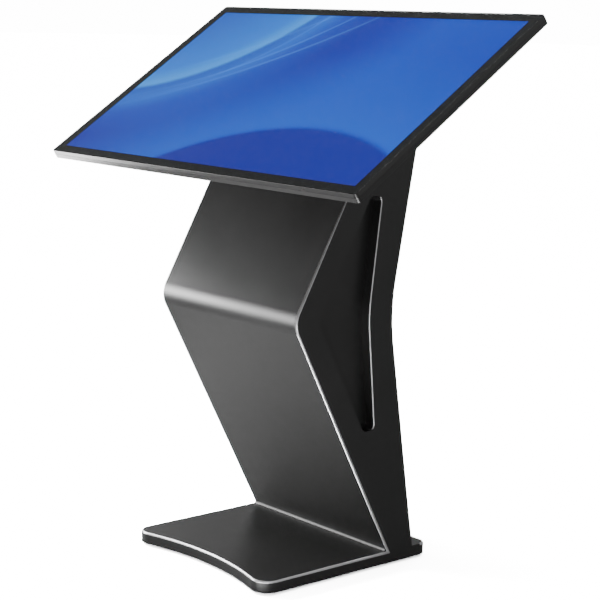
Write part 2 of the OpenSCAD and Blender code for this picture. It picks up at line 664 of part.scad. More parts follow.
// ---- rear service door, hinges and lock ----
leaf_w = door_w - 2 * door_gap;
leaf_h = door_h - 2 * door_gap;
leaf_low = door_low + door_gap;
hinge_x = -(door_w - door_gap) / 2;
knuckle_r = pin_r + 2.3;
hinge_y = knuckle_r + 0.2;
hinge_len = 60;
HINGE_LOW = [leaf_low + 40, leaf_low + leaf_h - 40 - hinge_len];
hinge_leaf_w = 24;
lock_x = leaf_w / 2 - 26;
lock_z = door_mid;
lock_body_r = plug_r + 3;
module rear_door() {
    color("#2b2c2e") on_lower_rear() difference() {
        block(-leaf_w / 2, -flange_d + 1, leaf_low, leaf_w / 2, 0, leaf_low + leaf_h);
        block(-leaf_w / 2 + sheet_t, -flange_d, leaf_low + sheet_t, leaf_w / 2 - sheet_t, -sheet_t,
            leaf_low + leaf_h - sheet_t);
        for (x = [-60:slot_pitch:60], z = [leaf_low + 60, leaf_low + leaf_h - 60])
            block(x - slot_w / 2, -sheet_t - 1, z - 20, x + slot_w / 2, 1, z + 20);
        translate([lock_x, 0, lock_z]) rod_y(lock_body_r + 0.1, -sheet_t - 1, 1);
        for (z0 = HINGE_LOW, k = [1, 3]) translate([hinge_x + hinge_leaf_w - 8, 0, z0 + hinge_len * k / 4])
            rod_y(screw_r + 0.2, -sheet_t - 1, 1);
    }
}
module knuckle(z0, z1) { translate([0, hinge_y, z0]) cylinder(r = knuckle_r, h = z1 - z0); }
module hinge_bore() { translate([0, hinge_y, -1]) cylinder(r = pin_r + run_gap, h = hinge_len + 2); }
third = hinge_len / 3;
split = 0.2;
module hinge_frame_leaves() {
    color("#707376") on_lower_rear() for (z0 = HINGE_LOW) translate([hinge_x, 0, z0]) difference() {
        union() {
            block(-hinge_leaf_w, 0.1, 0, -knuckle_r - split, 2.1, hinge_len);
            for (k = [0, 2]) {
                z1 = k * third + k * split / 2;
                z2 = (k + 1) * third - (2 - k) * split / 2;
                block(-knuckle_r - 1, 0.1, z1, 0, 2.1, z2);
                knuckle(z1, z2);
            }
        }
        hinge_bore();
    }
}
module hinge_door_leaves() {
    color("#707376") {
        on_lower_rear() for (z0 = HINGE_LOW) translate([hinge_x, 0, z0]) difference() {
            union() {
                block(knuckle_r + split, 0.1, 0, hinge_leaf_w, 2.1, hinge_len);
                block(0, 0.1, third + split, knuckle_r + 1, 2.1, 2 * third - split);
                knuckle(third + split, 2 * third - split);
            }
            hinge_bore();
            for (k = [1, 3]) translate([hinge_leaf_w - 8, 0, hinge_len * k / 4]) rod_y(screw_r + 0.2, -1, 3);
        }
        on_lower_rear() for (z0 = HINGE_LOW, k = [1, 3])
            translate([hinge_x + hinge_leaf_w - 8, 2.1 + eps, z0 + hinge_len * k / 4])
                button_screw(2.1 + sheet_t + 2);
    }
}
module hinge_pins() {
    color("#9a9da1") on_lower_rear() for (z0 = HINGE_LOW) translate([hinge_x, hinge_y, z0]) {
        cylinder(r = pin_r, h = hinge_len + 1);
        translate([0, 0, hinge_len + 0.2]) cylinder(r = pin_r + 1.3, h = 1.6);
    }
}
lock_depth = flange_d + 1;           // the barrel ends just past the flanges
cam_t = 2;
cam_reach = door_w / 2 + 7 - lock_x; // a quarter turn puts the tip behind the opening's flange
module lock_body() {
    color("#b4b7ba") on_lower_rear() translate([lock_x, 0, lock_z]) difference() {
        union() {
            rod_y(lock_body_r, -lock_depth, 0.5);
            rod_y(lock_body_r + 3, 0.1, 2.5);
            translate([0, -sheet_t - 3, 0]) rotate([-90, 0, 0]) cylinder(r = lock_body_r + 3, h = 2.8, $fn = 6);
        }
        rod_y(plug_r + run_gap, -lock_depth - 1, 4);
    }
}
module lock_plug() {
    color("#c9cbce") on_lower_rear() translate([lock_x, 0, lock_z]) {
        difference() {
            rod_y(plug_r, -lock_depth - 0.4, 2.2);
            block(-0.8, -4, -4, 0.8, 3, 4);
        }
        block(-6, -lock_depth - 0.4 - cam_t, 0, 6, -lock_depth - 0.4, cam_reach);
        rod_y(plug_r + 1.5, -lock_depth - 0.4 - cam_t, -lock_depth - 0.4);
        translate([0, -lock_depth - 0.4 - cam_t - 4, 0]) rotate([-90, 0, 0]) cylinder(r = 5, h = 4.1, $fn = 6);
    }
}

// ---- display head, drawn flat and tilted into place ----
module slab(w, h, r, z0, z1) {       // a plate with round corners, centred
    plate_loop(round_loop(box_loop(-w / 2, -h / 2, w / 2, h / 2), [r, r, r, r], 6), z0, z1);
}
gasket_t = 1.5;
cell_t = 1.8;
cell_edge = 6;
ledge_edge = 8;                      // the ledge's inner edge outside the picture
tray_top = -glass_t - gasket_t - cell_t - 0.2;
cover_z = -edge_h;                   // outer face of the rear cover's flange
module touch_glass() { color("#0b0c0e") on_head() slab(glass_w, glass_h, head_corner_r, -glass_t, 0); }
module glass_gasket() {
    color("#151515") on_head() difference() {
        slab(glass_w - 2, glass_h - 2, head_corner_r - 1, -glass_t - gasket_t, -glass_t - eps);
        slab(active_w + 4, active_h + 4, 1, -glass_t - gasket_t - 1, 0);
    }
}
module lcd_panel() {
    top = -glass_t - gasket_t - eps;
    color("#1450e0") on_head() slab(active_w + 2 * cell_edge, active_h + 2 * cell_edge, 1, top - cell_t, top);
}
module backlight_tray() {
    color("#c8cacc") on_head() slab(active_w + 2 * cell_edge, active_h + 2 * cell_edge, 2,
        cover_z + sheet_t + 0.3, tray_top);
}
module head_frame() {
    gap = 0.3;
    top = -glass_t - gasket_t - eps;
    color("#303133") on_head() difference() {
        slab(glass_w + 2 * rim_w, glass_h + 2 * rim_w, head_corner_r + rim_w, cover_z, 0);
        slab(glass_w + 2 * gap, glass_h + 2 * gap, head_corner_r + gap, top, 1);
        slab(active_w + 2 * ledge_edge, active_h + 2 * ledge_edge, 2, cover_z - 1, 0);
        slab(glass_w - 4, glass_h - 4, head_corner_r, cover_z - 1, top - 3);
        translate([ir_x, -glass_h / 2, ir_z]) cube([ir_w + 0.2, 20, ir_h + 0.2], center = true);
    }
}
ir_x = 350;
ir_z = -7.2;
ir_w = 5;
ir_h = 3;
module ir_window() {                 // infra-red receiver's window in the front edge
    color("#200508") on_head() translate([ir_x, -glass_h / 2 - rim_w + 1.6, ir_z])
        cube([ir_w, 3, ir_h], center = true);
}
box_front = -200;
box_rear = min(glass_h / 2 - 14, mount_rear + 18);
box_t = 1.5;
box_r = 14;
flange_in = 2.6;
COVER_SCREWS = [for (x = [-1, -0.5, 0, 0.5, 1], y = [-1, 1]) [x * (glass_w / 2 - 12), y * (glass_h / 2 - 9)]];
bracket_half = 18;
speaker_x = (bolt_x + bracket_half + box_w / 2) / 2;  // midway between the bracket and the box's wall
board_half = bolt_x - bracket_half - 22;             // half width of the power board, between the brackets
speaker_y = -60;
module box_shape(i, z0, z1) {
    plate_loop(round_loop(box_loop(-box_w / 2 + i, box_front + i, box_w / 2 - i, box_rear - i),
        [box_r - i, box_r - i, box_r - i, box_r - i], 6), z0, z1);
}
button_x = glass_w / 2 - 60;
button_y = -glass_h / 2 + 40;
button_r = 6;
module head_back_cover() {
    low = -head_d;
    color("#262729") on_head() difference() {
        union() {
            slab(glass_w - 2 * flange_in, glass_h - 2 * flange_in, head_corner_r, cover_z, cover_z + sheet_t);
            box_shape(0, low, cover_z + sheet_t / 2);
        }
        box_shape(box_t, low + box_t, 1);
        for (p = COVER_SCREWS) translate([p[0], p[1], cover_z - 1]) cylinder(r = screw_r + 0.2, h = 5);
        at_head_bolts() translate([0, 0, low - 1]) cylinder(r = bolt_r + 0.5, h = 4);
        translate([0, cable_hole_y, low - 1]) cylinder(r = cable_hole_r, h = 4);
        translate([button_x, button_y, cover_z - 1]) cylinder(r = button_r + 2.1, h = 5);
        for (s = [-1, 1], x = [-24:6:24]) translate([s * speaker_x + x, speaker_y, low - 1])
            translate([-1.5, -40, 0]) cube([3, 80, 4]);
        for (y = [-160:12:-100], s = [-1, 1]) translate([s * (box_w / 2), y, (low + cover_z) / 2])
            cube([6, 5, box_h - 16], center = true);
    }
}
module back_cover_screws() {
    color("#4a4b4d") on_head() for (p = COVER_SCREWS) translate([p[0], p[1], cover_z]) {
        translate([0, 0, -screw_head_h]) cylinder(r = screw_head_r, h = screw_head_h);
        translate([0, 0, -0.5]) cylinder(r = screw_r, h = 4);
    }
}
module head_brackets() {             // two channels that carry the panel and take the bolts from the arm
    low = -head_d + box_t + 0.1;
    top = cover_z + sheet_t - 0.1;
    color("#7f8386") on_head() for (s = [-1, 1]) difference() {
        translate([s * bolt_x, 0, 0]) difference() {
            block(-bracket_half, box_front + 20, low, bracket_half, box_rear - 6, top);
            translate([s * 3, 0, 0])
                block(-bracket_half, box_front + 10, low + 3, bracket_half, box_rear + 6, top - 3);
        }
        at_head_bolts() translate([0, 0, low - 1]) cylinder(r = bolt_r + run_gap, h = 5);
    }
}
module board(x0, y0, x1, y1) {       // a circuit board on four standoffs
    z = -head_d + box_t + 8;
    block(x0, y0, z, x1, y1, z + 1.6);
    for (x = [x0 + 6, x1 - 6], y = [y0 + 6, y1 - 6])
        translate([x, y, -head_d + box_t + 0.05]) cylinder(r = 3, h = 8);
}
// the boards sit below the cable hole, the power board lowest
main_top = cable_hole_y - cable_hole_r - 51.325;
board_unit = (main_top - box_front) / 270;
main_low = main_top - 130 * board_unit;
power_top = main_low - 20 * board_unit;
power_low = power_top - 100 * board_unit;
module mainboard() {
    z = -head_d + box_t + 9.6 - eps;
    color("#0f5a2c") on_head() {
        half = board_half - 20;
        board(-half, main_low, half, main_top);
        block(-30, main_low + 40 * board_unit, z, 10, main_low + 80 * board_unit, z + 9);
        for (x = [20 - half, 40 - half, half - 50, half - 30])
            block(x, main_top - 20, z, x + 14, main_top - 4, z + 7);
    }
}
module display_power_board() {
    z = -head_d + box_t + 9.6 - eps;
    color("#1c6a3a") on_head() {
        board(-board_half, power_low, board_half, power_top);
        block(30 - board_half, power_low + 20 * board_unit, z, 80 - board_half, power_low + 70 * board_unit, z + 16);
        for (x = [-100, -70, -40]) translate([board_half + x, (power_low + power_top) / 2, z])
            cylinder(r = 9, h = 18);
    }
}
module speaker(s) {
    z = -head_d + box_t + 0.2;
    color("#18191a") on_head() translate([s * speaker_x, speaker_y, 0]) difference() {
        block(-32, -50, z, 32, 50, z + 28);
        translate([0, 0, z - 1]) cylinder(r1 = 26, r2 = 14, h = 12);
    }
}
module speaker_left() { speaker(-1); }
module speaker_right() { speaker(1); }
module button_bezel() {
    color("#9a9da1") on_head() translate([button_x, button_y, 0]) difference() {
        union() {
            translate([0, 0, cover_z - 1.5]) cylinder(r = button_r + 3.5, h = 1.4);
            translate([0, 0, cover_z - 0.5]) cylinder(r = button_r + 2, h = sheet_t + 0.5);
        }
        translate([0, 0, cover_z - 3]) cylinder(r = button_r + run_gap, h = 10);
    }
}
button_travel = 1.5;
module power_button() {
    color("#c9cbce") on_head() translate([button_x, button_y, cover_z - 3.5]) cylinder(r = button_r, h = 4);
}

// ---- levelling feet ----
pad_h = 5;
hex_h = plate_z - pad_h - 1;
module pad(i) {
    color("#1b1b1c") translate([FOOT_PLACES[i][0], FOOT_PLACES[i][1], 0]) difference() {
        union() {
            cylinder(r = pad_r, h = pad_h - 2);
            translate([0, 0, pad_h - 2 - eps]) cylinder(r1 = pad_r, r2 = pad_r - 6, h = 2);
        }
        translate([0, 0, 2]) cylinder(r = stud_r + run_gap, h = pad_h);
    }
}
module stud(i) {
    color("#a9acaf") translate([FOOT_PLACES[i][0], FOOT_PLACES[i][1], 0]) {
        translate([0, 0, 2.05]) cylinder(r = stud_r, h = deck_z - sheet_t - 1 - 2.05);
        translate([0, 0, pad_h + 0.1]) cylinder(r = stud_r * 1.6, h = hex_h - 0.2, $fn = 6);
    }
}

base_plate();
weld_nuts();
front_skirt();
rear_cover();
side_panel_left();
side_panel_right();
front_panel();
rear_panel();
rear_panel_screws();
post_left();
post_right();
cross_rails();
head_mount_plate();
head_bolts();
equipment_shelf();
media_pc();
power_supply();
video_cable();
display_power_lead();
power_plate();
power_plate_screws();
cable_gland();
rocker_housing();
rocker();
fan_frame();
fan_rotor();
rear_door();
hinge_frame_leaves();
hinge_door_leaves();
hinge_pins();
lock_body();
lock_plug();
touch_glass();
glass_gasket();
head_frame();
lcd_panel();
backlight_tray();
head_brackets();
mainboard();
display_power_board();
speaker_left();
speaker_right();
head_back_cover();
back_cover_screws();
button_bezel();
power_button();
ir_window();
pad(0);  // foot_pad_front_left
pad(1);  // foot_pad_front_right
pad(2);  // foot_pad_rear_left
pad(3);  // foot_pad_rear_right
stud(0);  // foot_stud_front_left
stud(1);  // foot_stud_front_right
stud(2);  // foot_stud_rear_left
stud(3);  // foot_stud_rear_right
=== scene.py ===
import bpy
import bmesh
import json
import math
from mathutils import Matrix, Vector


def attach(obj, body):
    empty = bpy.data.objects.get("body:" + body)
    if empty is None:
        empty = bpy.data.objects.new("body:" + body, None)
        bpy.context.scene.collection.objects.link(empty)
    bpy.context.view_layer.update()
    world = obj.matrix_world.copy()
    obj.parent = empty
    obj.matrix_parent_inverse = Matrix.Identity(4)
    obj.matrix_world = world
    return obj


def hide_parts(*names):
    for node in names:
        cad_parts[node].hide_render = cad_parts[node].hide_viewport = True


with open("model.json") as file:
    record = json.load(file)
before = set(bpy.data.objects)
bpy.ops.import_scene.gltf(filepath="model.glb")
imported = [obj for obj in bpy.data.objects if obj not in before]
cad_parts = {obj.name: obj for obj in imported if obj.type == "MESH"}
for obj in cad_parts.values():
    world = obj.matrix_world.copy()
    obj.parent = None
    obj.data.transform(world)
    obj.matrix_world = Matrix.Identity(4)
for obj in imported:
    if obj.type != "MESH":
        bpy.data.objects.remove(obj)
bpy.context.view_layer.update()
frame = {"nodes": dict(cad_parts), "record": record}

scene = bpy.context.scene
nodes = frame["nodes"]
print("frame loaded:", len(nodes), "nodes")

# the sizes that everything below is set out from, in metres and degrees
places = {
    "tilt": math.radians(34.0), "frontLean": math.radians(28.4),
    "halfWidth": 0.222, "lip": 0.005, "sheet": 0.002, "footGap": 0.006, "deckTop": 0.031,
    "footY": 0.129423, "kneeFrontY": -0.149036, "kneeZ": 0.546, "rearFootY": 0.200694,
    "cornerY": -0.172382, "rearY": 0.249394, "baseFront": 0.351, "bow": 0.042,
    "frontCorner": 0.035, "rearCorner": 0.025, "kneeBend": 0.05, "footBend": 0.006,
    "glassWidth": 0.9872, "glassHeight": 0.5754, "rim": 0.002, "edge": 0.02,
    "box": 0.04, "corner": 0.006,
}
headDir = Vector((0, math.cos(places["tilt"]), math.sin(places["tilt"])))     # up the glass
headOut = Vector((0, -math.sin(places["tilt"]), math.cos(places["tilt"])))    # out of the glass


def headMiddle():
    co = [v.co for v in nodes["touch_glass"].data.vertices]
    top = max(c.dot(headOut) for c in co)
    along = [c.dot(headDir) for c in co]
    return headDir * (min(along) + max(along)) / 2 + headOut * top


headMid = headMiddle()
headFrame = Matrix((
    (1, headDir.x, headOut.x, headMid.x),
    (0, headDir.y, headOut.y, headMid.y),
    (0, headDir.z, headOut.z, headMid.z),
    (0, 0, 0, 1)))

# the finishes, one function each
print("mixing the finishes")


def newMaterial(name):
    mat = bpy.data.materials.new(name)
    mat.use_nodes = True
    tree = mat.node_tree
    shader = tree.nodes["Principled BSDF"]
    return mat, tree, shader


def addNode(tree, kind, **inputs):
    n = tree.nodes.new(kind)
    for key, value in inputs.items():
        n.inputs[key.replace("_", " ")].default_value = value
    return n


def bumpFrom(tree, height, shader, strength, distance):
    b = tree.nodes.new("ShaderNodeBump")
    b.inputs["Strength"].default_value = strength
    b.inputs["Distance"].default_value = distance
    tree.links.new(height, b.inputs["Height"])
    tree.links.new(b.outputs["Normal"], shader.inputs["Normal"])
    return b


def ramp(tree, source, stops):
    r = tree.nodes.new("ShaderNodeValToRGB")
    r.color_ramp.elements[0].position = stops[0][0]
    r.color_ramp.elements[0].color = stops[0][1]
    r.color_ramp.elements[1].position = stops[-1][0]
    r.color_ramp.elements[1].color = stops[-1][1]
    for at, colour in stops[1:-1]:
        e = r.color_ramp.elements.new(at)
        e.color = colour
    tree.links.new(source, r.inputs["Fac"])
    return r


def grey(v):
    return (v, v, v, 1)


powderLook = {"dark": 0.005, "light": 0.0075, "grain": 900.0, "mottle": 6.0, "roughness": 0.36, "bump": 0.12,
              "level": 0.5}


def powderCoat():
    mat, tree, shader = newMaterial("powderCoat")
    where = tree.nodes.new("ShaderNodeTexCoord").outputs["Object"]
    grain = addNode(tree, "ShaderNodeTexNoise", Scale=powderLook["grain"], Detail=3.0, Roughness=0.6)
    mottle = addNode(tree, "ShaderNodeTexNoise", Scale=powderLook["mottle"], Detail=4.0, Roughness=0.55)
    tree.links.new(where, grain.inputs["Vector"])
    tree.links.new(where, mottle.inputs["Vector"])
    tone = ramp(tree, mottle.outputs["Fac"],
                [(0.3, grey(powderLook["dark"])), (0.7, grey(powderLook["light"]))])
    tree.links.new(tone.outputs["Color"], shader.inputs["Base Color"])
    rough = addNode(tree, "ShaderNodeMapRange")
    rough.inputs["To Min"].default_value = powderLook["roughness"] - 0.05
    rough.inputs["To Max"].default_value = powderLook["roughness"] + 0.06
    tree.links.new(mottle.outputs["Fac"], rough.inputs["Value"])
    tree.links.new(rough.outputs["Result"], shader.inputs["Roughness"])
    shader.inputs["Specular IOR Level"].default_value = powderLook["level"]
    bumpFrom(tree, grain.outputs["Fac"], shader, powderLook["bump"], 0.0002)
    return mat


def metalFinish(name, colour, roughness, scratch):
    mat, tree, shader = newMaterial(name)
    shader.inputs["Metallic"].default_value = 1.0
    where = tree.nodes.new("ShaderNodeTexCoord").outputs["Object"]
    cloud = addNode(tree, "ShaderNodeTexNoise", Scale=60.0, Detail=5.0, Roughness=0.6)
    tree.links.new(where, cloud.inputs["Vector"])
    dull = tuple(c * 0.82 for c in colour)
    tone = ramp(tree, cloud.outputs["Fac"], [(0.3, dull + (1,)), (0.7, tuple(colour) + (1,))])
    tree.links.new(tone.outputs["Color"], shader.inputs["Base Color"])
    rough = addNode(tree, "ShaderNodeMapRange")
    rough.inputs["To Min"].default_value = roughness - 0.06
    rough.inputs["To Max"].default_value = roughness + 0.1
    tree.links.new(cloud.outputs["Fac"], rough.inputs["Value"])
    tree.links.new(rough.outputs["Result"], shader.inputs["Roughness"])
    fine = addNode(tree, "ShaderNodeTexNoise", Scale=scratch, Detail=2.0)
    tree.links.new(where, fine.inputs["Vector"])
    bumpFrom(tree, fine.outputs["Fac"], shader, 0.15, 0.0001)
    return mat


def mouldedFinish(name, colour, roughness, grainScale, grainDepth):
    mat, tree, shader = newMaterial(name)
    where = tree.nodes.new("ShaderNodeTexCoord").outputs["Object"]
    grain = addNode(tree, "ShaderNodeTexNoise", Scale=grainScale, Detail=3.0, Roughness=0.6)
    tree.links.new(where, grain.inputs["Vector"])
    dark = tuple(c * 0.8 for c in colour)
    tone = ramp(tree, grain.outputs["Fac"], [(0.35, dark + (1,)), (0.65, tuple(colour) + (1,))])
    tree.links.new(tone.outputs["Color"], shader.inputs["Base Color"])
    shader.inputs["Roughness"].default_value = roughness
    bumpFrom(tree, grain.outputs["Fac"], shader, grainDepth, 0.0002)
    return mat


def boardFinish():
    mat, tree, shader = newMaterial("circuitBoard")
    where = tree.nodes.new("ShaderNodeTexCoord").outputs["Object"]
    tracks = addNode(tree, "ShaderNodeTexBrick", Scale=160.0)
    tracks.inputs["Color1"].default_value = (0.012, 0.11, 0.045, 1)
    tracks.inputs["Color2"].default_value = (0.016, 0.14, 0.06, 1)
    tracks.inputs["Mortar"].default_value = (0.03, 0.22, 0.09, 1)
    tracks.inputs["Mortar Size"].default_value = 0.03
    tree.links.new(where, tracks.inputs["Vector"])
    tree.links.new(tracks.outputs["Color"], shader.inputs["Base Color"])
    shader.inputs["Roughness"].default_value = 0.35
    return mat


# the picture: two soft swells of light and a few streaks, all arcs round far-off centres;
# places across and up the picture are in picture heights
screenLook = {
    "width": 0.9412, "height": 0.5294, "glow": 1.0,
    "swell": (-0.2, 1.25), "hill": (1.33, -0.77),
    "swellStops": [(0.20, (0.0, 0.16, 0.95)), (0.37, (0.0, 0.28, 1.25)), (0.418, (0.04, 0.5, 1.5)),
                   (0.432, (0.0, 0.13, 0.85)), (0.475, (0.0, 0.17, 1.0)), (0.52, (0.0, 0.07, 0.75)),
                   (0.60, (0.0, 0.02, 0.56)), (0.66, (0.0, 0.02, 0.60)), (0.80, (0.0, 0.075, 0.82)),
                   (1.0, (0.0, 0.06, 0.74))],
    "hillInside": (0.0, 0.008, 0.46), "hillRim": (0.0, 0.14, 0.95), "hillRadius": 1.05,
    # each streak: its arc's centre and radius, its width and its power
    "streaks": (((-0.2, 1.25), 0.93, 0.006, 0.35), ((-0.5, 1.9), 1.62, 0.005, 0.55),
                ((-0.9, 2.6), 2.47, 0.007, 0.5), ((-0.6, 2.2), 1.78, 0.012, 0.22)),
    "streak": (0.12, 0.55, 1.2),
}


def headCoords(tree):
    # metres across (x) and up (y) the glass from its middle, worked out from the object's own frame
    where = tree.nodes.new("ShaderNodeTexCoord").outputs["Object"]
    mapping = tree.nodes.new("ShaderNodeMapping")
    mapping.vector_type = "POINT"
    # turn the tilted plane flat, then slide it so that the middle of the glass is the origin
    mapping.inputs["Rotation"].default_value = (-places["tilt"], 0, 0)
    flat = Matrix.Rotation(-places["tilt"], 4, "X") @ headMid
    mapping.inputs["Location"].default_value = (-flat.x, -flat.y, -flat.z)
    tree.links.new(where, mapping.inputs["Vector"])
    return mapping.outputs["Vector"]


def mathNode(tree, op, a, b=None, c=None):
    n = tree.nodes.new("ShaderNodeMath")
    n.operation = op
    for i, v in enumerate((a, b, c)):
        if v is None:
            continue
        if isinstance(v, (int, float)):
            n.inputs[i].default_value = v
        else:
            tree.links.new(v, n.inputs[i])
    return n.outputs[0]


def mixColour(tree, fac, a, b, kind="MIX"):
    n = tree.nodes.new("ShaderNodeMix")
    n.data_type = "RGBA"
    n.blend_type = kind
    n.clamp_result = False
    for sock, v in ((n.inputs[0], fac), (n.inputs[6], a), (n.inputs[7], b)):
        if isinstance(v, (int, float)):
            sock.default_value = v
        elif isinstance(v, tuple):
            sock.default_value = v + (1,) if len(v) == 3 else v
        else:
            tree.links.new(v, sock)
    return n.outputs[2]


def radiusFrom(tree, x, y, centre):
    dx = mathNode(tree, "SUBTRACT", x, centre[0])
    dy = mathNode(tree, "SUBTRACT", y, centre[1])
    return mathNode(tree, "SQRT", mathNode(tree, "ADD", mathNode(tree, "MULTIPLY", dx, dx),
                                           mathNode(tree, "MULTIPLY", dy, dy)))


def litPicture():
    g = screenLook
    mat, tree, shader = newMaterial("litPicture")
    sep = tree.nodes.new("ShaderNodeSeparateXYZ")
    tree.links.new(headCoords(tree), sep.inputs[0])
    x = mathNode(tree, "MULTIPLY_ADD", sep.outputs[0], 1 / g["height"], g["width"] / g["height"] / 2)
    y = mathNode(tree, "MULTIPLY_ADD", sep.outputs[1], 1 / g["height"], 0.5)
    swell = mathNode(tree, "MULTIPLY", radiusFrom(tree, x, y, g["swell"]), 0.5)
    colour = ramp(tree, swell, [(at, c + (1,)) for at, c in g["swellStops"]]).outputs["Color"]
    # the hill: a lit rim that fades outwards over a deep inside
    hill = mathNode(tree, "SUBTRACT", radiusFrom(tree, x, y, g["hill"]), g["hillRadius"])
    rim = ramp(tree, mathNode(tree, "MULTIPLY_ADD", hill, 1.0, 0.1), [(0.09, grey(0)), (0.12, grey(0.9)),
                                                                    (0.32, grey(0.5)), (0.62, grey(0))])
    colour = mixColour(tree, rim.outputs["Color"], colour, g["hillRim"])
    inside = ramp(tree, mathNode(tree, "MULTIPLY_ADD", hill, 1.0, 0.1), [(0.085, grey(1)), (0.105, grey(0))])
    colour = mixColour(tree, inside.outputs["Color"], colour, g["hillInside"])
    for centre, radius, width, power in g["streaks"]:
        gap = mathNode(tree, "ABSOLUTE", mathNode(tree, "SUBTRACT", radiusFrom(tree, x, y, centre), radius))
        line = mathNode(tree, "DIVIDE", width, mathNode(tree, "ADD", gap, width))
        line = mathNode(tree, "MULTIPLY", mathNode(tree, "POWER", line, 2.4), power)
        # each streak fades out towards both sides of the picture
        fade = ramp(tree, mathNode(tree, "MULTIPLY", x, 0.5),
                    [(0.05, grey(0.2)), (0.35, grey(1)), (0.75, grey(0.1))])
        line = mathNode(tree, "MULTIPLY", line, fade.outputs["Color"])
        colour = mixColour(tree, line, colour, g["streak"], "ADD")
    tree.links.new(colour, shader.inputs["Emission Color"])
    shader.inputs["Emission Strength"].default_value = g["glow"]
    shader.inputs["Base Color"].default_value = (0.002, 0.008, 0.03, 1)
    shader.inputs["Roughness"].default_value = 0.6
    return mat


glassLook = {"tint": (0.93, 0.96, 0.96, 1), "roughness": 0.02, "ior": 1.5, "inkRoughness": 0.35}


def coverGlass():
    mat, tree, shader = newMaterial("coverGlass")
    smear = addNode(tree, "ShaderNodeTexNoise", Scale=7.0, Detail=3.0)
    tree.links.new(tree.nodes.new("ShaderNodeTexCoord").outputs["Object"], smear.inputs["Vector"])
    rough = addNode(tree, "ShaderNodeMapRange")
    rough.inputs["To Min"].default_value = glassLook["roughness"]
    rough.inputs["To Max"].default_value = glassLook["roughness"] + 0.04
    tree.links.new(smear.outputs["Fac"], rough.inputs["Value"])
    tree.links.new(rough.outputs["Result"], shader.inputs["Roughness"])
    shader.inputs["Base Color"].default_value = glassLook["tint"]
    shader.inputs["Transmission Weight"].default_value = 1.0
    shader.inputs["IOR"].default_value = glassLook["ior"]
    return mat


finishes = {
    "powder_coat": powderCoat(),
    # painted highlight: a bright metal finish put on the rounded edges of the coated sheets so they show as
    # lit lines whatever the lamps do
    "painted_edge_highlight": metalFinish("paintedEdgeHighlight", (0.52, 0.52, 0.53), 0.34, 900.0),
    "frame_steel": mouldedFinish("framePrimer", (0.07, 0.075, 0.08), 0.5, 300.0, 0.1),
    "zinc_steel": metalFinish("zincPlate", (0.62, 0.63, 0.65), 0.32, 500.0),
    "black_screws": metalFinish("blackOxide", (0.06, 0.06, 0.065), 0.4, 700.0),
    "cover_glass": coverGlass(),
    "border_ink": mouldedFinish("borderInk", (0.004, 0.004, 0.005), glassLook["inkRoughness"], 900.0, 0.02),
    "display_panel": litPicture(),
    "panel_tray": metalFinish("trayMetal", (0.55, 0.56, 0.57), 0.4, 300.0),
    "foam": mouldedFinish("gasketFoam", (0.012, 0.012, 0.012), 0.9, 1500.0, 0.4),
    "circuit_board": boardFinish(),
    "black_plastic": mouldedFinish("blackPlastic", (0.018, 0.018, 0.02), 0.5, 1200.0, 0.2),
    "cable_sheath": mouldedFinish("cableSheath", (0.012, 0.012, 0.012), 0.55, 800.0, 0.1),
    "red_plastic": mouldedFinish("redPlastic", (0.42, 0.012, 0.012), 0.25, 900.0, 0.05),
    "lock_chrome": metalFinish("satinNickel", (0.7, 0.7, 0.72), 0.22, 900.0),
    "ir_plastic": mouldedFinish("infraRedFilter", (0.02, 0.002, 0.004), 0.1, 900.0, 0.02),
    "pad_rubber": mouldedFinish("padRubber", (0.015, 0.015, 0.015), 0.8, 1000.0, 0.3),
}
slotOf = {s["node"]: s["material_slot"] for s in frame["record"]["subparts"]}
for name, obj in nodes.items():
    obj.data.materials.clear()
    obj.data.materials.append(finishes[slotOf[name]])

# copies of the sheet-metal pieces with their edges rounded
print("rounding the edges")


leastAngle = math.radians(22)       # an edge that folds less than this stays as it is


